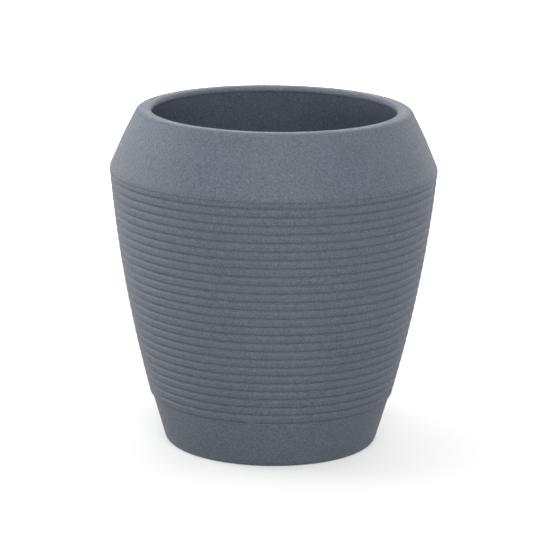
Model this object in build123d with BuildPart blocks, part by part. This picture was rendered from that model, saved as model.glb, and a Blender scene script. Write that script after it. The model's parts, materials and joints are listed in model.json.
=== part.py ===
from build123d import *

import os
from math import atan2, degrees, radians, sqrt, tan

# Self watering planter: a ribbed one-piece pot, with a watering insert that lifts out of it.
# The origin is the centre of the face that the pot stands on. +Z is up and -Y is the front.
# All sizes are in millimetres and all angles are in degrees.

# ---- Pot, outside ----
pot_height = 422.0
shoulder_radius = 203.2  # the widest circle, where the cone meets the ribs
shoulder_drop = 69.5  # from the rim's top down to the shoulder
cone_lean = 25.9  # the cone's slope from upright
shoulder_round = 2.5
rim_round = 8.0  # the rim's outer edge
lip_round = 5.0  # the rim's inner edge
lip_width = 22.6  # the rim's width before its edges are rounded
base_radius = 131.3  # at the ground, before the corner is rounded
base_lean = 16.35  # the smooth base band's slope from upright
base_round = 9.2
base_band_height = 54.5
step_height = 63.0  # where the ribs begin
step_radius = 151.9
step_round = 2.5
barrel_bulge = 6.4  # how far the ribbed barrel swells past a straight cone

# ---- Ribs ----
groove_count = 26  # the step below the lowest rib looks like one more
groove_depth = 1.7
groove_cutter_radius = 2.2
first_groove_drop = 13.2  # from the shoulder down to the first groove
parting_line_drop = 6.2  # from the shoulder down to the mould's parting line
parting_line_depth = 0.5
parting_line_radius = 0.9

# ---- Pot, inside and underneath ----
wall = 6.5
underside_recess = 12.0  # the floor's underside above the ground
foot_width = 23.0  # the standing ring, across
recess_taper = 4.0
ledge_overlap = 4.0  # how far the plate rests on the ledge
drain_notch_width = 16.0
drain_notch_height = 5.0
drain_notch_angles = (45.0, 90.0, 135.0)  # all at the back

# ---- Clearances ----
rest_gap = 0.3  # between a piece at rest and what it rests on, on another body
wall_gap = 1.4  # around the separator plate
lift_gap = 7.0  # between the plate and the mouth as the insert lifts out
tube_gap = 0.1  # around a tube in its socket
pin_gap = 0.02  # around the hinge pin in the ears that hold it
running_gap = 0.06  # around a pin or seal that something slides or turns on

# ---- Overflow standpipe and drain bung ----
standpipe_radius = 10.0
standpipe_bore = 7.0
standpipe_end = 4.6  # the lower end's height above the ground
standpipe_chamfer = 0.6
overflow_below_plate = 7.0  # the overflow level below the separator plate
gasket_radius = 17.0
gasket_thickness = 2.0
flange_thickness = 3.0
locknut_flats = 32.0
locknut_height = 6.5
locknut_chamfer = 0.8
strainer_wall = 2.0
strainer_overlap = 8.0
strainer_headroom = 3.0
strainer_slots = 6  # each runs right across, so it opens on both sides
bung_head_radius = 13.0
bung_head_thickness = 2.6
bung_shank_gap = 0.5
bung_length = 12.0
bung_chamfer = 1.2
seal_section_radius = 1.2
seal_from_end = 3.6  # from the shank's end down to the seal's centre
grip_count = 12
grip_radius = 1.6

# ---- Separator plate ----
plate_thickness = 3.0
plate_lip_width = 3.0
plate_lip_height = 3.0
rib_count = 4
rib_width = 2.5
rib_depth = 4.5
rib_inner_radius = 22.0
vent_width = 3.0
vent_length = 40.0
vent_pitch = 8.0
vent_rows = 4
outer_vent_groups = 3  # none at the front, by the tubes
vent_start = 26.0  # the inner vents begin this far from the centre
vent_margin = 20.0  # the outer vents end this far from the plate's edge

# ---- Wick baskets ----
basket_radius = 26.0
basket_foot_radius = 19.0
basket_flange_width = 5.5
basket_flange_thickness = 2.5
basket_wall = 2.0
basket_floor_gap = 0.6
basket_slot_width = 3.0
basket_slot_height = 26.0
basket_slot_rows = 6
basket_slot_margin = 2.0  # from the basket's floor up to its slots

# ---- Fill tube, its funnel and lid ----
fill_tube_radius = 16.0
fill_tube_wall = 2.0
fill_tube_foot_gap = 3.0
outlet_width = 9.0
outlet_height = 9.0
lid_top_drop = 27.0  # the lid's top below the rim
funnel_radius = 28.0
funnel_wall = 2.0
funnel_rim_height = 8.0
funnel_cone_height = 18.0
funnel_socket_length = 14.0
funnel_socket_wall = 2.5
lid_thickness = 3.0
lid_overhang = 1.5
lid_plug_depth = 3.0
lid_plug_gap = 0.5
lid_plug_wall = 2.0
tab_width = 16.0
tab_length = 6.0
hinge_pin_radius = 1.5
knuckle_radius = 4.0
knuckle_width = 12.0
ear_width = 5.0
ear_drop = 10.0  # how far down the funnel's side the ears are joined to it
hinge_side_gap = 0.4
hinge_wall_gap = 0.8

# ---- Water level indicator ----
indicator_radius = 7.0
indicator_wall = 2.0
indicator_cap_length = 29.0
cap_overlap = 7.0
cap_wall = 2.4
cap_top = 3.5
cage_radius = 18.0
cage_wall = 1.8
cage_flange_width = 2.5
cage_flange_thickness = 2.0
cage_floor = 1.5
cage_slot_width = 6.0
cage_slot_margin = 3.0  # solid rings below and above the cage's slots
cage_slots = 4  # each runs right across, so it opens on both sides
cage_floor_holes = 6
float_radius = 14.5
float_height = 14.0
float_chamfer = 1.0
float_stop_gap = 0.5
float_rod_radius = 2.0
tip_radius = 4.2
tip_length = 24.0
tip_headroom = 3.5
tip_chamfer = 1.0

# ---- Grommets and the clip that joins the tubes ----
grommet_wall = 2.5
grommet_flange_width = 3.0
grommet_flange_thickness = 2.5
grommet_side_gap = 1.25  # from the plate's front rib to what passes each side of it
grommet_basket_gap = 4.4
bridge_drop = 62.0  # the clip's top below the lid's top
bridge_thickness = 8.0
bridge_wall = 4.0
bridge_round = 1.5

# ---- Places that follow from the sizes above ----
shoulder_height = pot_height - shoulder_drop
rim_radius = shoulder_radius - shoulder_drop * tan(radians(cone_lean))
lip_radius = rim_radius - lip_width
base_band_radius = base_radius + base_band_height * tan(radians(base_lean))
shoulder_bore = shoulder_radius - wall
flare = degrees(atan2(shoulder_bore - lip_radius, shoulder_drop))
mouth_radius = lip_radius + lip_round * (1 / tan(radians(90 - flare) / 2) - 1)
floor_top = underside_recess + wall
floor_radius = base_radius + floor_top * tan(radians(base_lean)) - wall
foot_inner_radius = base_radius - foot_width
# The two upright tubes stand either side of the plate's front rib, as far forward as the floor
# lets the fill tube and the float cage stand.
fill_grommet_radius = fill_tube_radius + grommet_wall + grommet_flange_width
fill_tube_x = -(rib_width / 2 + grommet_side_gap + fill_grommet_radius)
indicator_x = rib_width / 2 + grommet_side_gap + cage_radius + cage_flange_width
flat_floor_radius = floor_radius - wall
tube_line = min(
    sqrt((flat_floor_radius - fill_tube_radius) ** 2 - fill_tube_x**2),
    sqrt((flat_floor_radius - cage_radius) ** 2 - indicator_x**2),
)
# The baskets stand on the diagonals, the front two just behind the tubes' grommets.
basket_flange_radius = basket_radius + basket_flange_width
basket_reach = basket_flange_radius + grommet_basket_gap + fill_grommet_radius
half_sum = (tube_line - fill_tube_x) / 2
spare = half_sum**2 - (tube_line**2 + fill_tube_x**2 - basket_reach**2) / 2
basket_spread = half_sum - sqrt(spare)
ledge_height = base_band_height + wall
seat_height = step_height + wall / 2  # where the inner wall ends, above the ledge
ledge_wall_radius = step_radius - wall
plate_radius = min(ledge_wall_radius - wall_gap, mouth_radius - lift_gap)
ledge_inner_radius = plate_radius - ledge_overlap
plate_underside = ledge_height + rest_gap
plate_top = plate_underside + plate_thickness
overflow_level = plate_underside - overflow_below_plate
flange_bottom = floor_top + gasket_thickness
basket_bottom = floor_top + basket_floor_gap
lid_top = pot_height - lid_top_drop
lid_underside = lid_top - lid_thickness
funnel_top = lid_underside - rest_gap
funnel_neck = funnel_top - funnel_rim_height - funnel_cone_height
fill_tube_bore = fill_tube_radius - fill_tube_wall
fill_tube_bottom = floor_top + fill_tube_foot_gap
bridge_top = lid_top - bridge_drop
hinge_y = -tube_line + funnel_radius + knuckle_radius + hinge_wall_gap
hinge_height = funnel_top - hinge_wall_gap
indicator_bore = indicator_radius - indicator_wall
indicator_top = lid_top - indicator_cap_length + cap_overlap
cage_bottom = floor_top + basket_floor_gap
float_bottom = cage_bottom + cage_floor + rest_gap
float_top = float_bottom + float_height
float_travel = plate_underside - grommet_flange_thickness - float_stop_gap - float_top
tip_top = lid_top - cap_top - tip_headroom - float_travel


def barrel_radius(height):
    """Outer radius of the ribbed barrel, at a height between the step and the shoulder."""
    share = (height - step_height) / (shoulder_height - step_height)
    straight = step_radius + share * (shoulder_radius - step_radius)
    return straight + 4 * barrel_bulge * share * (1 - share)


def side_plane(x, y):
    """Upright plane through a vertical line: its first axis is +X and its second is +Z."""
    return Plane(origin=(x, y, 0), x_dir=(1, 0, 0), z_dir=(0, -1, 0))


def upright(x, y):
    """Vertical axis through a point of the ground."""
    return Axis((x, y, 0), (0, 0, 1))


def level(x, y, height):
    """Level plane at a height, centred on a vertical line."""
    return Plane(origin=(x, y, height))


def finish(part, name):
    """Name a finished piece and write it."""
    part.label = name
    export_step(part, f"parts/{name}.step")


os.makedirs("parts", exist_ok=True)

# ---- Pot: one turned wall, with a heavy lip, a ribbed barrel and a ring to stand on ----
barrel_middle = (step_height + shoulder_height) / 2
groove_pitch = (shoulder_height - first_groove_drop - step_height) / groove_count
groove_heights = [step_height + groove_pitch * (step + 1) for step in range(groove_count)]
parting_line = shoulder_height - parting_line_drop

with BuildPart() as planter_shell:
    with BuildSketch(Plane.XZ) as section:
        with BuildLine():
            Polyline(
                (0, underside_recess),
                (foot_inner_radius - recess_taper, underside_recess),
                (foot_inner_radius, 0),
                (base_radius, 0),
                (base_band_radius, base_band_height),
                (step_radius, step_height),
            )
            ThreePointArc(
                (step_radius, step_height),
                (barrel_radius(barrel_middle), barrel_middle),
                (shoulder_radius, shoulder_height),
            )
            Polyline(
                (shoulder_radius, shoulder_height),
                (rim_radius, pot_height),
                (lip_radius, pot_height),
                (shoulder_bore, shoulder_height),
            )
            ThreePointArc(
                (shoulder_bore, shoulder_height),
                (barrel_radius(barrel_middle) - wall, barrel_middle),
                (ledge_wall_radius, seat_height),
            )
            Polyline(
                (ledge_wall_radius, seat_height),
                (plate_radius + wall_gap, ledge_height),
                (ledge_inner_radius, ledge_height),
                (floor_radius, floor_top),
                (0, floor_top),
                (0, underside_recess),
            )
        make_face()
        for corner, rounding in (
            ((base_radius, 0), base_round),
            ((base_band_radius, base_band_height), step_round),
            ((step_radius, step_height), step_round),
            ((shoulder_radius, shoulder_height), shoulder_round),
            ((rim_radius, pot_height), rim_round),
            ((lip_radius, pot_height), lip_round),
            ((shoulder_bore, shoulder_height), wall),
            ((floor_radius, floor_top), wall),
            ((foot_inner_radius, 0), step_round),
        ):
            fillet(section.vertices().sort_by_distance(corner)[0], rounding)
    revolve(axis=Axis.Z)
    with BuildSketch(Plane.XZ):
        for height in groove_heights:
            with Locations((barrel_radius(height) - groove_depth + groove_cutter_radius, height)):
                Circle(groove_cutter_radius)
        parting_line_centre = barrel_radius(parting_line) - parting_line_depth + parting_line_radius
        with Locations((parting_line_centre, parting_line)):
            Circle(parting_line_radius)
    revolve(axis=Axis.Z, mode=Mode.SUBTRACT)
    with BuildSketch(level(0, 0, underside_recess)):
        Circle(standpipe_radius + tube_gap)
    extrude(amount=wall, mode=Mode.SUBTRACT)
    with BuildSketch(Plane.XY):
        for angle in drain_notch_angles:
            with PolarLocations(base_radius, 1, start_angle=angle):
                Rectangle(2 * foot_width, drain_notch_width)
    extrude(amount=drain_notch_height, mode=Mode.SUBTRACT)
finish(planter_shell.part, "planter_shell")

# ---- Overflow standpipe: what stands above its open top drains out under the floor ----
with BuildPart() as overflow_standpipe:
    with BuildSketch(level(0, 0, standpipe_end)):
        Circle(standpipe_radius)
    extrude(amount=overflow_level - standpipe_end)
    with BuildSketch(level(0, 0, flange_bottom)):
        Circle(gasket_radius)
    extrude(amount=flange_thickness)
    with BuildSketch(level(0, 0, standpipe_end)):
        Circle(standpipe_bore)
    extrude(amount=overflow_level - standpipe_end, mode=Mode.SUBTRACT)
    chamfer(overflow_standpipe.faces().sort_by(Axis.Z)[-1].edges(), standpipe_chamfer)
finish(overflow_standpipe.part, "overflow_standpipe")

with BuildPart() as standpipe_gasket:
    with BuildSketch(level(0, 0, floor_top)):
        Circle(gasket_radius)
        Circle(standpipe_radius + tube_gap, mode=Mode.SUBTRACT)
    extrude(amount=gasket_thickness)
finish(standpipe_gasket.part, "standpipe_gasket")

with BuildPart() as standpipe_locknut:
    with BuildSketch(level(0, 0, underside_recess - locknut_height)):
        RegularPolygon(locknut_flats / 2, 6, major_radius=False)
        Circle(standpipe_radius + tube_gap, mode=Mode.SUBTRACT)
    extrude(amount=locknut_height)
    chamfer(standpipe_locknut.faces().sort_by(Axis.Z)[0].outer_wire().edges(), locknut_chamfer)
finish(standpipe_locknut.part, "standpipe_locknut")

# The strainer keeps roots and grit out of the standpipe, and water enters it from the side.
strainer_bottom = overflow_level - strainer_overlap
strainer_radius = standpipe_radius + tube_gap + strainer_wall
strainer_ceiling = overflow_level + strainer_headroom
with BuildPart() as overflow_strainer:
    with BuildSketch(level(0, 0, strainer_bottom)):
        Circle(strainer_radius)
    extrude(amount=strainer_ceiling + strainer_wall / 2 - strainer_bottom)
    with BuildSketch(level(0, 0, strainer_bottom)):
        Circle(standpipe_radius + tube_gap)
    extrude(amount=strainer_overlap, mode=Mode.SUBTRACT)
    with BuildSketch(level(0, 0, overflow_level)):
        Circle(standpipe_bore)
    extrude(amount=strainer_headroom, mode=Mode.SUBTRACT)
    with BuildSketch(level(0, 0, overflow_level)):
        for slot in range(strainer_slots):
            Rectangle(3 * strainer_radius, strainer_wall, rotation=180 * slot / strainer_slots)
    extrude(amount=strainer_headroom - strainer_wall / 2, mode=Mode.SUBTRACT)
finish(overflow_strainer.part, "overflow_strainer")

# ---- Drain bung: pulls out downwards, so that rain can leave through the standpipe ----
bung_top = standpipe_end - rest_gap
shank_radius = standpipe_bore - bung_shank_gap
seal_height = bung_top + bung_length - seal_from_end
seal_circle = standpipe_bore - running_gap - seal_section_radius
with BuildPart() as drain_bung:
    with BuildSketch(level(0, 0, bung_top - bung_head_thickness)):
        Circle(bung_head_radius)
        with PolarLocations(bung_head_radius + grip_radius / 2, grip_count):
            Circle(grip_radius, mode=Mode.SUBTRACT)
    extrude(amount=bung_head_thickness)
    with BuildSketch(level(0, 0, bung_top)):
        Circle(shank_radius)
    extrude(amount=bung_length)
    chamfer(drain_bung.faces().sort_by(Axis.Z)[-1].edges(), bung_chamfer)
    with BuildSketch(Plane.XZ):
        with Locations((seal_circle, seal_height)):
            Circle(seal_section_radius + pin_gap)
    revolve(axis=Axis.Z, mode=Mode.SUBTRACT)
finish(drain_bung.part, "drain_bung")

with BuildPart() as bung_seal_ring:
    with BuildSketch(Plane.XZ):
        with Locations((seal_circle, seal_height)):
            Circle(seal_section_radius)
    revolve(axis=Axis.Z)
finish(bung_seal_ring.part, "bung_seal_ring")

# ---- Separator plate: holds the soil above the water, and carries the rest of the insert ----
fill_hole_radius = fill_tube_radius + grommet_wall
indicator_hole_radius = indicator_radius + grommet_wall
basket_places = [(x * basket_spread, y * basket_spread) for y in (1, -1) for x in (-1, 1)]
with BuildPart() as separator_plate:
    with BuildSketch(level(0, 0, plate_underside)):
        Circle(plate_radius)
    extrude(amount=plate_thickness)
    with BuildSketch(level(0, 0, plate_top)):
        Circle(plate_radius)
        Circle(plate_radius - plate_lip_width, mode=Mode.SUBTRACT)
    extrude(amount=plate_lip_height)
    rib_length = ledge_inner_radius - wall_gap - rib_inner_radius
    with BuildSketch(level(0, 0, plate_underside - rib_depth)):
        with PolarLocations(rib_inner_radius + rib_length / 2, rib_count):
            Rectangle(rib_length, rib_width)
    extrude(amount=rib_depth)
    with BuildSketch(level(0, 0, plate_underside)):
        # Vents in rows either side of each rib.
        inner_vents = PolarLocations(vent_start + vent_length / 2, rib_count)
        outer_vents = PolarLocations(
            plate_radius - vent_margin - vent_length / 2,
            outer_vent_groups,
            angular_range=360 * outer_vent_groups / rib_count,
        )
        for vents in (inner_vents, outer_vents):
            with vents:
                with GridLocations(0, vent_pitch, 1, vent_rows):
                    SlotOverall(vent_length, vent_width)
        with Locations(*basket_places):
            Circle(basket_radius + tube_gap)
        with Locations((fill_tube_x, -tube_line)):
            Circle(fill_hole_radius)
        with Locations((indicator_x, -tube_line)):
            Circle(indicator_hole_radius)
    extrude(amount=plate_thickness, mode=Mode.SUBTRACT)
finish(separator_plate.part, "separator_plate")

# ---- Wick baskets: filled with soil, they stand in the water and draw it up ----
for index, (x, y) in enumerate(basket_places, start=1):
    with BuildPart() as wick_basket:
        with BuildSketch(side_plane(x, y)):
            with BuildLine():
                Polyline(
                    (0, basket_bottom),
                    (basket_foot_radius, basket_bottom),
                    (basket_radius, plate_top),
                    (basket_flange_radius, plate_top),
                    (basket_flange_radius, plate_top + basket_flange_thickness),
                    (basket_radius - basket_wall, plate_top + basket_flange_thickness),
                    (basket_foot_radius - basket_wall, basket_bottom + basket_wall),
                    (0, basket_bottom + basket_wall),
                    close=True,
                )
            make_face()
        revolve(axis=upright(x, y))
        with BuildSketch(level(x, y, basket_bottom + basket_wall + basket_slot_margin)):
            for row in range(basket_slot_rows):
                Rectangle(3 * basket_radius, basket_slot_width, rotation=180 * row / basket_slot_rows)
        extrude(amount=basket_slot_height, mode=Mode.SUBTRACT)
        with BuildSketch(level(x, y, basket_bottom)):
            with PolarLocations(basket_foot_radius / 2, basket_slot_rows):
                Circle(basket_slot_width / 2)
        extrude(amount=basket_wall, mode=Mode.SUBTRACT)
    finish(wick_basket.part, f"wick_basket_{index}")

# ---- Fill tube, funnel and lid ----
with BuildPart() as fill_tube:
    with BuildSketch(level(fill_tube_x, -tube_line, fill_tube_bottom)):
        Circle(fill_tube_radius)
        Circle(fill_tube_bore, mode=Mode.SUBTRACT)
    extrude(amount=funnel_neck - fill_tube_wall - fill_tube_bottom)
    with BuildSketch(level(fill_tube_x, -tube_line, fill_tube_bottom)):
        for angle in (0, 90):
            Rectangle(3 * fill_tube_radius, outlet_width, rotation=angle)
    extrude(amount=outlet_height, mode=Mode.SUBTRACT)
finish(fill_tube.part, "fill_tube")

funnel_socket = fill_tube_radius + tube_gap
with BuildPart() as fill_funnel:
    with BuildSketch(side_plane(fill_tube_x, -tube_line)):
        with BuildLine():
            Polyline(
                (funnel_socket, funnel_neck - funnel_socket_length),
                (funnel_socket + funnel_socket_wall, funnel_neck - funnel_socket_length),
                (funnel_socket + funnel_socket_wall, funnel_neck),
                (funnel_radius, funnel_top - funnel_rim_height),
                (funnel_radius, funnel_top),
                (funnel_radius - funnel_wall, funnel_top),
                (funnel_radius - funnel_wall, funnel_top - funnel_rim_height + funnel_wall),
                (fill_tube_bore, funnel_neck),
                (fill_tube_bore, funnel_neck - fill_tube_wall),
                (funnel_socket, funnel_neck - fill_tube_wall),
                close=True,
            )
        make_face()
    revolve(axis=upright(fill_tube_x, -tube_line))
    # Two ears behind the funnel hold the hinge pin.
    ear_reach = knuckle_width / 2 + hinge_side_gap
    for side in (-1, 1):
        ear_start = fill_tube_x + side * ear_reach
        with BuildSketch(Plane.YZ.offset(ear_start)):
            with Locations((hinge_y, hinge_height)):
                Circle(knuckle_radius)
            with BuildLine():
                Polyline(
                    (hinge_y + knuckle_radius, hinge_height),
                    (hinge_y - knuckle_radius - hinge_wall_gap - funnel_wall / 2, hinge_height),
                    (hinge_y - knuckle_radius - hinge_wall_gap - funnel_wall / 2, hinge_height - ear_drop),
                    close=True,
                )
            make_face()
        extrude(amount=side * ear_width)
    with BuildSketch(Plane.YZ.offset(fill_tube_x - ear_reach - ear_width)):
        with Locations((hinge_y, hinge_height)):
            Circle(hinge_pin_radius + pin_gap)
    extrude(amount=2 * (ear_reach + ear_width), mode=Mode.SUBTRACT)
finish(fill_funnel.part, "fill_funnel")

with BuildPart() as lid_hinge_pin:
    with BuildSketch(Plane.YZ.offset(fill_tube_x - ear_reach - ear_width)):
        with Locations((hinge_y, hinge_height)):
            Circle(hinge_pin_radius)
    extrude(amount=2 * (ear_reach + ear_width))
finish(lid_hinge_pin.part, "lid_hinge_pin")

lid_radius = funnel_radius + lid_overhang
lid_plug_radius = funnel_radius - funnel_wall - lid_plug_gap
with BuildPart() as fill_lid:
    with BuildSketch(level(fill_tube_x, -tube_line, lid_underside)):
        Circle(lid_radius)
        with Locations((0, -lid_radius)):
            RectangleRounded(tab_width, 2 * tab_length, tab_length / 2)
        with Locations((0, hinge_y + tube_line)):
            Rectangle(
                2 * (ear_reach + ear_width + hinge_side_gap),
                2 * (knuckle_radius + hinge_wall_gap),
                mode=Mode.SUBTRACT,
            )
    extrude(amount=lid_thickness)
    with BuildSketch(level(fill_tube_x, -tube_line, lid_underside - lid_plug_depth)):
        Circle(lid_plug_radius)
        Circle(lid_plug_radius - lid_plug_wall, mode=Mode.SUBTRACT)
    extrude(amount=lid_plug_depth)
    # The strap and knuckle turn on the pin between the ears.
    with BuildSketch(Plane.YZ.offset(fill_tube_x - knuckle_width / 2)):
        with Locations((hinge_y, hinge_height)):
            Circle(knuckle_radius)
        with Locations((hinge_y - knuckle_radius, lid_top - lid_thickness / 2)):
            Rectangle(2 * knuckle_radius, lid_thickness)
    extrude(amount=knuckle_width)
    with BuildSketch(Plane.YZ.offset(fill_tube_x - knuckle_width / 2)):
        with Locations((hinge_y, hinge_height)):
            Circle(hinge_pin_radius + running_gap)
    extrude(amount=knuckle_width, mode=Mode.SUBTRACT)
finish(fill_lid.part, "fill_lid")

# ---- Water level indicator: a float in a cage, with a rod up a clear tube ----
with BuildPart() as indicator_tube:
    with BuildSketch(level(indicator_x, -tube_line, plate_underside - grommet_flange_thickness)):
        Circle(indicator_radius)
        Circle(indicator_bore, mode=Mode.SUBTRACT)
    extrude(amount=indicator_top - plate_underside + grommet_flange_thickness)
finish(indicator_tube.part, "indicator_tube")

cap_radius = indicator_radius + cap_wall
with BuildPart() as indicator_cap:
    with BuildSketch(level(indicator_x, -tube_line, indicator_top - cap_overlap)):
        Circle(cap_radius)
    extrude(amount=indicator_cap_length)
    fillet(indicator_cap.faces().sort_by(Axis.Z)[-1].edges(), cap_top)
    with BuildSketch(level(indicator_x, -tube_line, indicator_top - cap_overlap)):
        Circle(indicator_radius + tube_gap)
    extrude(amount=cap_overlap, mode=Mode.SUBTRACT)
    with BuildSketch(level(indicator_x, -tube_line, indicator_top)):
        Circle(indicator_bore)
    extrude(amount=indicator_cap_length - cap_overlap - cap_top, mode=Mode.SUBTRACT)
finish(indicator_cap.part, "indicator_cap")

with BuildPart() as float_cage:
    with BuildSketch(side_plane(indicator_x, -tube_line)):
        with BuildLine():
            Polyline(
                (0, cage_bottom),
                (cage_radius, cage_bottom),
                (cage_radius, plate_underside - cage_flange_thickness),
                (cage_radius + cage_flange_width, plate_underside - cage_flange_thickness),
                (cage_radius + cage_flange_width, plate_underside),
                (cage_radius - cage_wall, plate_underside),
                (cage_radius - cage_wall, cage_bottom + cage_floor),
                (0, cage_bottom + cage_floor),
                close=True,
            )
        make_face()
    revolve(axis=upright(indicator_x, -tube_line))
    cage_slot_bottom = cage_bottom + cage_floor + cage_slot_margin
    cage_slot_top = plate_underside - cage_flange_thickness - cage_slot_margin
    with BuildSketch(level(indicator_x, -tube_line, cage_slot_bottom)):
        for slot in range(cage_slots):
            Rectangle(3 * cage_radius, cage_slot_width, rotation=180 * slot / cage_slots)
    extrude(amount=cage_slot_top - cage_slot_bottom, mode=Mode.SUBTRACT)
    with BuildSketch(level(indicator_x, -tube_line, cage_bottom)):
        with PolarLocations(cage_radius / 2, cage_floor_holes):
            Circle(vent_width / 2)
    extrude(amount=cage_floor, mode=Mode.SUBTRACT)
finish(float_cage.part, "float_cage")

with BuildPart() as float_puck:
    with BuildSketch(level(indicator_x, -tube_line, float_bottom)):
        Circle(float_radius)
    extrude(amount=float_height)
    chamfer(float_puck.edges(), float_chamfer)
finish(float_puck.part, "float_puck")

with BuildPart() as float_rod:
    with BuildSketch(level(indicator_x, -tube_line, float_top)):
        Circle(float_rod_radius)
    extrude(amount=tip_top - tip_length - float_top)
finish(float_rod.part, "float_rod")

with BuildPart() as indicator_tip:
    with BuildSketch(level(indicator_x, -tube_line, tip_top - tip_length)):
        Circle(tip_radius)
    extrude(amount=tip_length)
    chamfer(indicator_tip.edges(), tip_chamfer)
finish(indicator_tip.part, "indicator_tip")

# ---- Grommets: seal each tube where it passes through the plate ----
for name, x, tube_radius in (
    ("fill_tube_grommet", fill_tube_x, fill_tube_radius),
    ("indicator_grommet", indicator_x, indicator_radius),
):
    groove_radius = tube_radius + grommet_wall
    flange_radius = groove_radius + grommet_flange_width
    with BuildPart() as grommet:
        with BuildSketch(level(x, -tube_line, plate_underside - grommet_flange_thickness)):
            Circle(flange_radius)
        extrude(amount=grommet_flange_thickness)
        with BuildSketch(level(x, -tube_line, plate_underside)):
            Circle(groove_radius)
        extrude(amount=plate_thickness)
        with BuildSketch(level(x, -tube_line, plate_top)):
            Circle(flange_radius)
        extrude(amount=grommet_flange_thickness)
        with BuildSketch(level(x, -tube_line, plate_underside - grommet_flange_thickness)):
            Circle(tube_radius)
        extrude(amount=plate_thickness + 2 * grommet_flange_thickness, mode=Mode.SUBTRACT)
    finish(grommet.part, name)

with BuildPart() as tube_bridge:
    with BuildSketch(level(0, -tube_line, bridge_top - bridge_thickness)):
        with Locations((fill_tube_x, 0)):
            Circle(fill_tube_radius + bridge_wall)
        with Locations((indicator_x, 0)):
            Circle(indicator_radius + bridge_wall)
        make_hull()
        with Locations((fill_tube_x, 0)):
            Circle(fill_tube_radius + tube_gap, mode=Mode.SUBTRACT)
        with Locations((indicator_x, 0)):
            Circle(indicator_radius + tube_gap, mode=Mode.SUBTRACT)
    extrude(amount=bridge_thickness)
    fillet(tube_bridge.faces().sort_by(Axis.Z)[-1].outer_wire().edges(), bridge_round)
finish(tube_bridge.part, "tube_bridge")
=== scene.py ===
import json
from math import atan2, cos, exp, pi, radians, sin, sqrt, tan

import bmesh
import bpy
from mathutils import Euler, Matrix, Vector


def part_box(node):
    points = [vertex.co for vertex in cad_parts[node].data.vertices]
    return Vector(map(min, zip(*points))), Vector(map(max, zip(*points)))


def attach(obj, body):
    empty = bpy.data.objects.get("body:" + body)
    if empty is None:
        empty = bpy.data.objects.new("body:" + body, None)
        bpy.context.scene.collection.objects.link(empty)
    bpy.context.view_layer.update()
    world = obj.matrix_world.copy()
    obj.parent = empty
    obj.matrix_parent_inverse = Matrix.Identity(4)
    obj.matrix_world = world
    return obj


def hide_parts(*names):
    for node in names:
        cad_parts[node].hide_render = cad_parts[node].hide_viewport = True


# Self watering planter: a ribbed pot with a watering insert. Metres, +Z up, -Y is the front.

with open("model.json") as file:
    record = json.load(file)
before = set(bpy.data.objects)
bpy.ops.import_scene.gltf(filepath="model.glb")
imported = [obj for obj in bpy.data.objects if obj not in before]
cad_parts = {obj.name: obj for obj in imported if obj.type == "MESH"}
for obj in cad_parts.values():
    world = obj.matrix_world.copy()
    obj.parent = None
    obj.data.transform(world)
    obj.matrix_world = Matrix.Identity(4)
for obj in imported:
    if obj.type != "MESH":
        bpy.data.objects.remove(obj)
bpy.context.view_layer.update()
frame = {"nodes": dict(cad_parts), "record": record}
nodes = frame["nodes"]
scene = bpy.context.scene


# ---- Camera, floor and lights ----
def make_camera():
    """Looks a little down on the pot's front, from far off, with a slight tilt of the frame."""
    distance = 3.6311
    elevation = radians(13.699)
    aim = Vector((0.0033, 0.0, 0.2102))
    camera_data = bpy.data.cameras.new("camera")
    camera_data.lens = 190.2
    camera_data.sensor_width = 36.0
    camera_data.clip_end = 100.0
    camera = bpy.data.objects.new("camera", camera_data)
    camera.location = aim + distance * Vector((0.0, -cos(elevation), sin(elevation)))
    tilt = Matrix.Rotation(radians(0.743), 4, "Z")
    turn = Euler((pi / 2 - elevation, 0.0, 0.0)).to_matrix().to_4x4()
    camera.rotation_euler = (turn @ tilt).to_euler()
    scene.collection.objects.link(camera)
    scene.camera = camera


def area_light(name, place, aim, size, power, spread=pi):
    """A soft rectangular light, with its power in watts and the angle that it spreads over."""
    light_data = bpy.data.lights.new(name, "AREA")
    light_data.shape = "RECTANGLE"
    light_data.size, light_data.size_y = size
    light_data.energy = power
    light_data.spread = spread
    light = bpy.data.objects.new(name, light_data)
    light.location = place
    light.rotation_euler = (Vector(aim) - Vector(place)).to_track_quat("-Z", "Y").to_euler()
    scene.collection.objects.link(light)


def map_range(tree, value, low, high, out_low, out_high, interpolation="LINEAR"):
    """Maps a socket's value from one range to another, held at the ends."""
    ranged = tree.nodes.new("ShaderNodeMapRange")
    ranged.interpolation_type = interpolation
    tree.links.new(value, ranged.inputs["Value"])
    limits = (("From Min", low), ("From Max", high), ("To Min", out_low), ("To Max", out_high))
    for key, number in limits:
        ranged.inputs[key].default_value = number
    return ranged.outputs["Result"]


def make_sky():
    """A sky that lights the object most from the horizon, and is plain white to look at."""
    low, high = 0.08, 0.30  # sine of the heights between which the sky dims
    at_horizon, overhead = 0.80, 0.08
    world = bpy.data.worlds.new("sky")
    world.use_nodes = True
    tree = world.node_tree
    direction = tree.nodes.new("ShaderNodeTexCoord")
    split = tree.nodes.new("ShaderNodeSeparateXYZ")
    tree.links.new(direction.outputs["Generated"], split.inputs["Vector"])
    light = map_range(tree, split.outputs["Z"], low, high, at_horizon, overhead)
    seen = tree.nodes.new("ShaderNodeLightPath")
    strength = tree.nodes.new("ShaderNodeMath")
    strength.operation = "MAXIMUM"
    tree.links.new(light, strength.inputs[0])
    tree.links.new(seen.outputs["Is Camera Ray"], strength.inputs[1])
    background = tree.nodes["Background"]
    background.inputs["Color"].default_value = (1.0, 1.0, 1.0, 1.0)
    tree.links.new(strength.outputs["Value"], background.inputs["Strength"])
    scene.world = world


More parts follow.
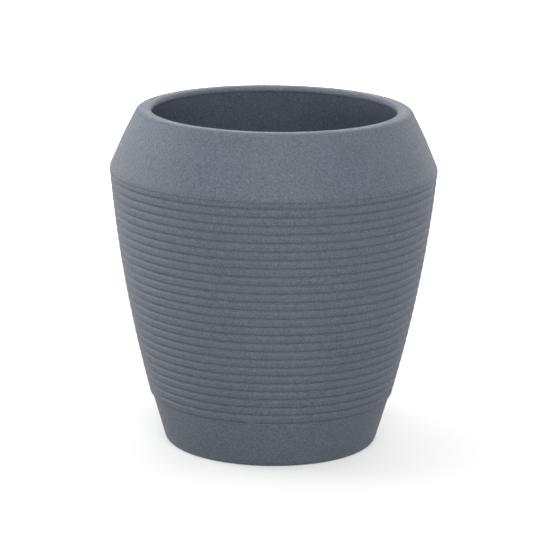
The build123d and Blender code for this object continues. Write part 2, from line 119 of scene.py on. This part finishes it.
def floor_material():
    """Matte pale grey that glows a little, and more from far off, so it is white on every side."""
    near, far = 0.8, 2.6  # metres from the middle between which the glow grows
    near_glow, far_glow = 0.45, 1.0
    material = bpy.data.materials.new("floor")
    material.use_nodes = True
    tree = material.node_tree
    shader = tree.nodes["Principled BSDF"]
    shader.inputs["Base Color"].default_value = (0.36, 0.36, 0.36, 1.0)
    shader.inputs["Emission Color"].default_value = (1.0, 1.0, 1.0, 1.0)
    shader.inputs["Roughness"].default_value = 1.0
    shader.inputs["Specular IOR Level"].default_value = 0.0
    place = tree.nodes.new("ShaderNodeTexCoord")
    distance = tree.nodes.new("ShaderNodeVectorMath")
    distance.operation = "LENGTH"
    tree.links.new(place.outputs["Object"], distance.inputs[0])
    glow = map_range(tree, distance.outputs["Value"], near, far, near_glow, far_glow, "SMOOTHSTEP")
    tree.links.new(glow, shader.inputs["Emission Strength"])
    return material


def make_stage():
    """A plain pale floor, a white sky and large soft lights all round and above."""
    scene.view_settings.view_transform = "Standard"
    half = 30.0
    corners = [(-half, -half, 0), (half, -half, 0), (half, half, 0), (-half, half, 0)]
    floor_data = bpy.data.meshes.new("floor")
    floor_data.from_pydata(corners, [], [(0, 1, 2, 3)])
    floor_data.materials.append(floor_material())
    floor = bpy.data.objects.new("floor", floor_data)
    scene.collection.objects.link(floor)
    make_sky()
    middle = (0.0, 0.0, 0.25)
    lights = (
        ("left", (-2.4, 0.4, 1.3), (1.6, 2.2), 70),
        ("right", (2.4, 0.4, 1.3), (1.6, 2.2), 25),
        ("top", (0.0, 0.2, 3.0), (2.5, 2.5), 78),
        ("front", (0.3, -3.5, 2.4), (2.0, 1.5), 152),
        ("front_low", (0.3, -3.8, 1.2), (1.5, 1.0), 16),
        ("back_left", (-2.0, 2.2, 1.0), (1.2, 2.0), 19),
        ("back_right", (2.0, 2.2, 1.0), (1.2, 2.0), 19),
        ("back_top", (0.0, 2.8, 1.5), (2.4, 0.8), 40),
    )
    for name, place, size, power in lights:
        area_light(name, place, middle, size, power)
    # This one lights only the floor behind the object.
    area_light("behind", (0.0, 3.6, 2.4), (0.0, 3.6, 0.0), (4.0, 3.0), 150, spread=radians(80.0))


# ---- Materials ----
# The Mix node repeats its socket names for each kind of data, so its colour sockets go by number.
MIX_SHARE, MIX_FIRST, MIX_SECOND, MIX_RESULT = 0, 6, 7, 2


class Shader:
    """A material whose colour, roughness and bump are built from noise in the object's own space."""

    def __init__(self, name, roughness, specular=0.5):
        self.material = bpy.data.materials.new(name)
        self.material.use_nodes = True
        self.tree = self.material.node_tree
        self.surface = self.tree.nodes["Principled BSDF"]
        self.surface.inputs["Roughness"].default_value = roughness
        self.surface.inputs["Specular IOR Level"].default_value = specular
        self.place = self.tree.nodes.new("ShaderNodeTexCoord").outputs["Object"]

    def node(self, kind, **settings):
        made = self.tree.nodes.new(kind)
        for key, value in settings.items():
            setattr(made, key, value)
        return made

    def link(self, start, end):
        self.tree.links.new(start, end)

    def noise(self, size, detail=2.0, stretch=(1.0, 1.0, 1.0)):
        """Noise whose grains are about this many metres across."""
        mapping = self.node("ShaderNodeMapping")
        mapping.inputs["Scale"].default_value = [1.0 / s for s in stretch]
        self.link(self.place, mapping.inputs["Vector"])
        texture = self.node("ShaderNodeTexNoise")
        texture.inputs["Scale"].default_value = 1.0 / size
        texture.inputs["Detail"].default_value = detail
        self.link(mapping.outputs["Vector"], texture.inputs["Vector"])
        return texture.outputs["Fac"]

    def spread(self, value, low, high, out_low, out_high):
        """Maps a value from one range to another, held at the ends."""
        return map_range(self.tree, value, low, high, out_low, out_high)

    def mix(self, share, first, second):
        """Mixes two colours, each a socket or an RGB triple, by a socket or a number."""
        blend = self.node("ShaderNodeMix", data_type="RGBA")
        for number, value in ((MIX_SHARE, share), (MIX_FIRST, first), (MIX_SECOND, second)):
            socket = blend.inputs[number]
            if isinstance(value, bpy.types.NodeSocket):
                self.link(value, socket)
            elif isinstance(value, tuple):
                socket.default_value = (*value, 1.0)
            else:
                socket.default_value = value
        return blend.outputs[MIX_RESULT]

    def colour(self, value):
        self.link(value, self.surface.inputs["Base Color"])

    def rough(self, value):
        self.link(value, self.surface.inputs["Roughness"])

    def bump(self, *layers):
        """Each layer is a height socket and the relief in metres."""
        normal = None
        for height, relief in layers:
            bump = self.node("ShaderNodeBump")
            bump.inputs["Distance"].default_value = relief
            self.link(height, bump.inputs["Height"])
            if normal is not None:
                self.link(normal, bump.inputs["Normal"])
            normal = bump.outputs["Normal"]
        self.link(normal, self.surface.inputs["Normal"])

    def edges(self, low, high):
        """How far a point lies on a convex edge, from 0 to 1, where edges are painted paler for wear
        and, on the pot, for a painted highlight.
        """
        return self.spread(self.node("ShaderNodeNewGeometry").outputs["Pointiness"], low, high, 0.0, 1.0)


def shade(colour, factor):
    return tuple(channel * factor for channel in colour)


def pot_plastic(name="pot_plastic", painted_lift=1.0):
    """Rotomoulded polyethylene: slate blue-grey, finely flecked, with a stone-like skin.

    The second argument is how much paler it is painted than the pot's outside: painted light for the
    inside of the pot.
    """
    slate = shade((0.0570, 0.0680, 0.0860), painted_lift)
    look = Shader(name, roughness=0.62, specular=0.35)
    fleck = look.spread(look.noise(0.0021), 0.38, 0.62, 0.0, 1.0)
    flecked = look.mix(fleck, shade(slate, 0.55), shade(slate, 1.45))
    grain = look.spread(look.noise(0.0046), 0.38, 0.62, 0.0, 1.0)
    grained = look.mix(grain, shade(slate, 0.84), shade(slate, 1.16))
    speckled = look.mix(0.5, flecked, grained)
    cloud = look.spread(look.noise(0.045), 0.35, 0.65, 0.0, 0.16)
    clouded = look.mix(cloud, speckled, shade(slate, 1.25))
    # Convex edges painted paler: partly wear, partly a painted highlight along the shoulder's edge.
    worn_and_highlit = look.mix(look.edges(0.52, 0.57), clouded, shade(slate, 1.45))
    look.colour(worn_and_highlit)
    look.rough(look.spread(grain, 0.0, 1.0, 0.56, 0.70))
    look.bump((look.noise(0.0016), 0.0004), (look.noise(0.0040), 0.0005))
    return look.material


def moulded_plastic(name, colour, roughness=0.42):
    """Injection-moulded plastic: even colour, a fine spark-eroded skin and rubbed edges."""
    look = Shader(name, roughness=roughness, specular=0.45)
    haze = look.spread(look.noise(0.018, 3.0), 0.35, 0.65, 0.0, 1.0)
    hazed = look.mix(haze, shade(colour, 0.88), shade(colour, 1.16))
    look.colour(look.mix(look.edges(0.52, 0.60), hazed, shade(colour, 2.0)))
    look.rough(look.spread(look.noise(0.006), 0.3, 0.7, roughness - 0.07, roughness + 0.09))
    look.bump((look.noise(0.0006), 0.00006))
    return look.material


def rubber(name, colour):
    """Moulded rubber: matte, with a faint bloom."""
    look = Shader(name, roughness=0.8, specular=0.3)
    bloom = look.spread(look.noise(0.009, 4.0), 0.4, 0.7, 0.0, 0.5)
    look.colour(look.mix(bloom, colour, shade(colour, 2.2)))
    look.rough(look.spread(look.noise(0.004), 0.3, 0.7, 0.7, 0.92))
    look.bump((look.noise(0.0008), 0.00008))
    return look.material


def float_foam():
    """Closed-cell foam: pale, with small cells."""
    look = Shader("float_foam", roughness=0.85, specular=0.2)
    cells = look.node("ShaderNodeTexVoronoi", feature="DISTANCE_TO_EDGE")
    cell_size = 0.0016
    cells.inputs["Scale"].default_value = 1.0 / cell_size
    look.link(look.place, cells.inputs["Vector"])
    wall = look.spread(cells.outputs["Distance"], 0.0, 0.25, 0.0, 1.0)
    look.colour(look.mix(wall, (0.62, 0.61, 0.56), (0.82, 0.81, 0.76)))
    look.rough(look.spread(wall, 0.0, 1.0, 0.92, 0.78))
    look.bump((wall, 0.0002))
    return look.material


def clear_plastic():
    """Clear tube, slightly frosted by lime and handling."""
    look = Shader("clear_plastic", roughness=0.08, specular=0.5)
    look.surface.inputs["Transmission Weight"].default_value = 0.92
    look.surface.inputs["IOR"].default_value = 1.49
    scale = look.spread(look.noise(0.012, 4.0, stretch=(1.0, 1.0, 4.0)), 0.45, 0.75, 0.0, 1.0)
    look.colour(look.mix(scale, (0.93, 0.96, 0.97), (0.80, 0.83, 0.84)))
    look.rough(look.spread(scale, 0.0, 1.0, 0.04, 0.28))
    look.bump((look.noise(0.02), 0.0001))
    return look.material


def steel():
    """Drawn stainless pin."""
    look = Shader("steel", roughness=0.3)
    look.surface.inputs["Metallic"].default_value = 1.0
    lines = look.noise(0.0008, 2.0, stretch=(30.0, 1.0, 1.0))
    look.colour(look.mix(lines, (0.46, 0.46, 0.47), (0.62, 0.62, 0.63)))
    look.rough(look.spread(lines, 0.3, 0.7, 0.22, 0.42))
    look.bump((lines, 0.00003))
    return look.material


# ---- Mesh tools ----
ROUND_STEPS = 6


def rounded(corners):
    """Outline from (radius, height, rounding) corners, each rounded corner as a short arc."""
    outline = []
    last = len(corners) - 1
    for index, (r, z, rounding) in enumerate(corners):
        if rounding == 0:
            outline.append((r, z))
            continue
        here = Vector((r, z))
        before = (Vector(corners[index - 1][:2]) - here).normalized()
        after = (Vector(corners[0 if index == last else index + 1][:2]) - here).normalized()
        half = before.angle(after) / 2
        reach = rounding / tan(half)
        centre = here + (before + after).normalized() * (rounding / sin(half))
        start = here + before * reach - centre
        end = here + after * reach - centre
        sweep = start.angle_signed(end)
        for step in range(ROUND_STEPS + 1):
            point = centre + Matrix.Rotation(-sweep * step / ROUND_STEPS, 2) @ start
            outline.append((point.x, point.y))
    return outline


def mesh_object(name, vertices, faces, material):
    """A smooth-shaded piece whose faces all point outwards."""
    mesh = bpy.data.meshes.new(name)
    mesh.from_pydata(vertices, [], faces)
    mesh.validate()
    mesh.materials.append(material)
    for polygon in mesh.polygons:
        polygon.use_smooth = True
    piece = bpy.data.objects.new(name, mesh)
    scene.collection.objects.link(piece)
    builder = bmesh.new()
    builder.from_mesh(mesh)
    bmesh.ops.recalc_face_normals(builder, faces=builder.faces)
    builder.to_mesh(mesh)
    builder.free()
    return piece


def turned(outline, sides):
    """Vertices and faces of a closed outline turned about the pot's axis."""
    vertices = []
    for side in range(sides):
        angle = 2 * pi * side / sides
        for r, z in outline:
            vertices.append((r * cos(angle), r * sin(angle), z))
    count = len(outline)
    faces = []
    for side in range(sides):
        here, there = side * count, (side + 1) % sides * count
        for step in range(count):
            after = (step + 1) % count
            faces.append((here + step, there + step, there + after, here + after))
    return vertices, faces


def soften_edges(piece):
    """Rounds a moulded piece's edges, and smooths its curved faces."""
    edge_width = 0.0004
    weld = piece.modifiers.new("weld", "WELD")
    weld.merge_threshold = 0.000005
    flat = piece.modifiers.new("flat faces", "DECIMATE")
    flat.decimate_type = "DISSOLVE"
    flat.angle_limit = radians(0.4)
    edge = piece.modifiers.new("edges", "BEVEL")
    edge.width = edge_width
    edge.segments = 2
    edge.limit_method = "ANGLE"
    edge.angle_limit = radians(38.0)
    faces = piece.modifiers.new("flat shading", "WEIGHTED_NORMAL")
    faces.weight = 80
    for polygon in piece.data.polygons:
        polygon.use_smooth = True


# ---- Pot ----
POT_SIDES = 240


def make_pot():
    """One moulded wall: heavy lip, plain cone, ribbed barrel, step, smooth band and foot ring."""
    low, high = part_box("planter_shell")
    flats = 0.0001  # what the CAD mesh's flat sides take off its radius
    wall = 0.0065

    # Cone and lip, from the shoulder up
    height = high.z
    shoulder_radius = (high.x - low.x) / 2 + flats
    shoulder = height - 0.0728
    rim_radius = shoulder_radius - 0.03375
    lip_radius = rim_radius - 0.0226
    cone_swell = 0.0012
    corner_drop, corner_rise, corner_inset = 0.0027, 0.0012, 0.0007

    # Base band and foot, below the step
    base_radius, band_height, band_lean = 0.1313, 0.0590, radians(16.35)
    band_radius = base_radius + band_height * tan(band_lean)
    step_radius, step_height = 0.1519, 0.063
    recess, recess_radius, foot_width = 0.012, 0.104, 0.023
    notch_angles, notch_half = (45.0, 90.0, 135.0), radians(4.2)
    notch_height, notch_reach, notch_inner = 0.005, 0.006, 0.100

    # Inside
    floor, hole = 0.0185, 0.0101
    floor_radius = base_radius + floor * tan(band_lean) - wall
    seat, ledge, ledge_radius = step_height + wall / 2, 0.061, 0.140
    inner_rows = 24

    # Grooves, evenly spaced up the barrel, and the mould's parting line above them
    grooves, first_drop, last_drop = 26, 0.0118, 0.0021
    depth, half_width, flatness = 0.0021, 0.00165, 2.6
    pitch = (shoulder - first_drop - step_height + last_drop) / grooves
    groove_centres = [step_height - last_drop + pitch * (index + 1) for index in range(grooves)]
    parting, parting_depth, parting_half_width = shoulder - 0.0046, 0.0006, 0.0009

    def barrel(z):
        """Radius of the barrel before its grooves, which swells between the step and the shoulder."""
        swell = 0.0064
        share = (z - step_height) / (shoulder - step_height)
        straight = step_radius + share * (shoulder_radius - step_radius)
        return straight + 4 * swell * share * (1 - share)

    def relief(z):
        """How far grooves and the parting line cut into the barrel at a height."""
        nearest = min(groove_centres, key=lambda centre: abs(centre - z))
        groove = depth * exp(-((abs(z - nearest) / half_width) ** flatness))
        line = parting_depth * exp(-(((z - parting) / parting_half_width) ** 2))
        return max(groove, line)

    # The barrel's rows start just above the step, and stop below the shoulder's corner.
    rows_per_rib, first_row, top_margin = 10, 2, 0.003
    rows = int((shoulder - step_height) / pitch * rows_per_rib)
    row_height = (shoulder - top_margin - step_height) / rows
    barrel_rows = [step_height + row_height * row for row in range(first_row, rows)]

    # Corners are (radius, height, rounding), from the hole underneath out, up and back inside.
    outside = [
        (hole, recess, 0),
        (recess_radius, recess, 0.002),
        (base_radius - foot_width, 0.0, 0.0025),
        (base_radius, 0.0, 0.0092),
        (band_radius, band_height, 0.0004),
        (band_radius - 0.0006, band_height + 0.0009, 0.0004),
        (step_radius, step_height + 0.0004, 0.0012),
    ]
    outside += [(barrel(z) - relief(z), z, 0) for z in barrel_rows]
    outside += [
        (shoulder_radius, shoulder - corner_drop, 0.0010),
        (shoulder_radius - corner_inset, shoulder + corner_rise, 0.0008),
        ((shoulder_radius + rim_radius) / 2 + cone_swell, (shoulder + height) / 2, 0.030),
        (rim_radius, height, 0.008),
        (lip_radius, height, 0.005),
    ]
    inside = [(shoulder_radius - wall, shoulder, 0.012)]
    for row in range(1, inner_rows):
        z = shoulder + (seat - shoulder) * row / inner_rows
        inside.append((barrel(z) - wall, z, 0))
    inside += [
        (step_radius - wall, seat, 0),
        (step_radius - wall, ledge, 0.0008),
        (ledge_radius, ledge, 0.0012),
        (floor_radius, floor, wall),
        (hole, floor, 0),
    ]
    outline = rounded(outside + inside)
    vertices, faces = turned(outline, POT_SIDES)

    # Three drain notches under the back of the foot ring
    notched = []
    for x, y, z in vertices:
        for angle in notch_angles:
            off = abs(atan2(y, x) - radians(angle)) / notch_half
            if off < 1.0 and z < notch_reach and sqrt(x * x + y * y) > notch_inner:
                z = max(z, notch_height * (1 - off**4))
        notched.append((x, y, z))

    pot = mesh_object("pot", notched, faces, pot_plastic())
    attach(pot, "planter")
    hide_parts("planter_shell")

    # The inside takes a copy painted paler, as painted light inside the pot. The faces that close the
    # outline keep the outside's.
    pot.data.materials.append(pot_plastic("pot_plastic_inside_painted_light", 1.65))
    first_inside = len(rounded(outside)) - 1
    for polygon in pot.data.polygons:
        steps = sorted(vertex % len(outline) for vertex in polygon.vertices)
        if steps[0] >= first_inside and steps[-1] - steps[0] <= 1:
            polygon.material_index = 1


make_camera()
make_stage()
make_pot()

finishes = {
    "black_plastic": moulded_plastic("black_plastic", (0.022, 0.022, 0.024)),
    "grey_plastic": moulded_plastic("grey_plastic", (0.055, 0.060, 0.068)),
    "lid_plastic": moulded_plastic("lid_plastic", (0.026, 0.026, 0.028), 0.36),
    "white_plastic": moulded_plastic("white_plastic", (0.70, 0.70, 0.68), 0.30),
    "red_plastic": moulded_plastic("red_plastic", (0.55, 0.02, 0.015), 0.28),
    "black_rubber": rubber("black_rubber", (0.015, 0.015, 0.016)),
    "seal_rubber": rubber("seal_rubber", (0.020, 0.019, 0.018)),
    "float_foam": float_foam(),
    "clear_plastic": clear_plastic(),
    "steel": steel(),
}
for entry in frame["record"]["subparts"]:
    slot = entry["material_slot"]
    if slot not in finishes:
        continue  # the pot, which has a piece of its own
    part = nodes[entry["node"]]
    part.data.materials.clear()
    part.data.materials.append(finishes[slot])
    if slot != "steel":
        soften_edges(part)
